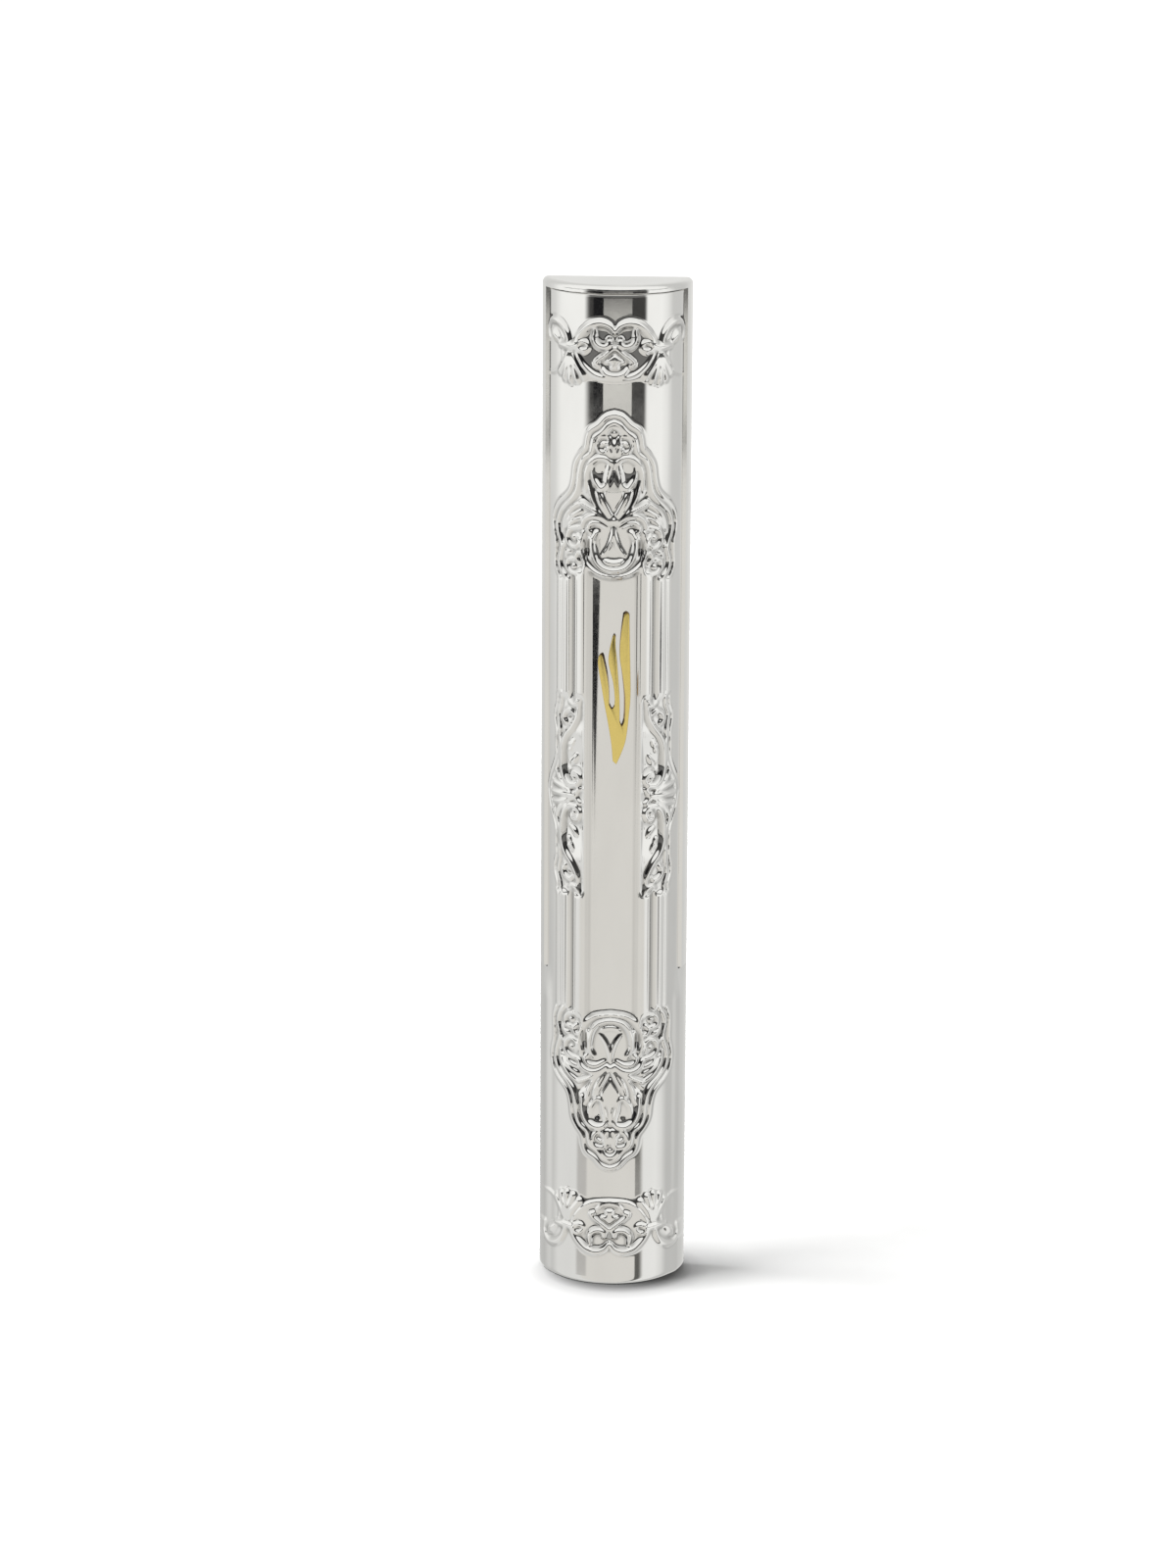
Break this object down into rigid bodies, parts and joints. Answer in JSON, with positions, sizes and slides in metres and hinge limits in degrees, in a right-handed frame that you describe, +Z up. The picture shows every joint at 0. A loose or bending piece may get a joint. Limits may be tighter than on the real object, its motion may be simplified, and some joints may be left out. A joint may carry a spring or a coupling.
{
  "type": "mezuzah case",
  "caption": "Slim half-round mezuzah case with embossed chrome cover, gold shin, sliding back tray and rolled parchment.",
  "frame": {"origin": "middle of the bottom of the case's bounding box: on the floor, halfway across and halfway from the front to the tape liners", "axes": "+Z up along the case, -Y towards the embossed front, +Y towards the doorpost, +X to the right seen from the front"},
  "size_m": [0.022, 0.012, 0.1514],
  "materials": {
    "tray_chrome": "bright chrome plating on ABS",
    "cover_chrome": "bright chrome plating on embossed ABS",
    "emblem_gold": "gold plating on ABS, satin face and bright bevels",
    "parchment": "matt cream parchment",
    "clear_film": "clear glossy film",
    "tape_foam": "white closed-cell foam",
    "tape_liner": "smooth siliconed paper"
  },
  "bodies": {
    "front": {"front_cover": "cover_chrome", "gold_shin": "emblem_gold"},
    "back": {"back_tray": "tray_chrome", "upper_tape_pad": "tape_foam", "lower_tape_pad": "tape_foam", "upper_tape_liner": "tape_liner", "lower_tape_liner": "tape_liner"},
    "scroll": {"parchment_scroll": "parchment", "scroll_sleeve": "clear_film"}
  },
  "joints": [
    {"name": "tray_slide", "type": "slide", "parent": "front", "child": "back", "axis": [0, 0, 1], "range_m": [0, 0.13]},
    {"name": "scroll_shift", "type": "slide", "parent": "back", "child": "scroll", "axis": [0, 0, 1], "range_m": [0, 0.0025]}
  ]
}
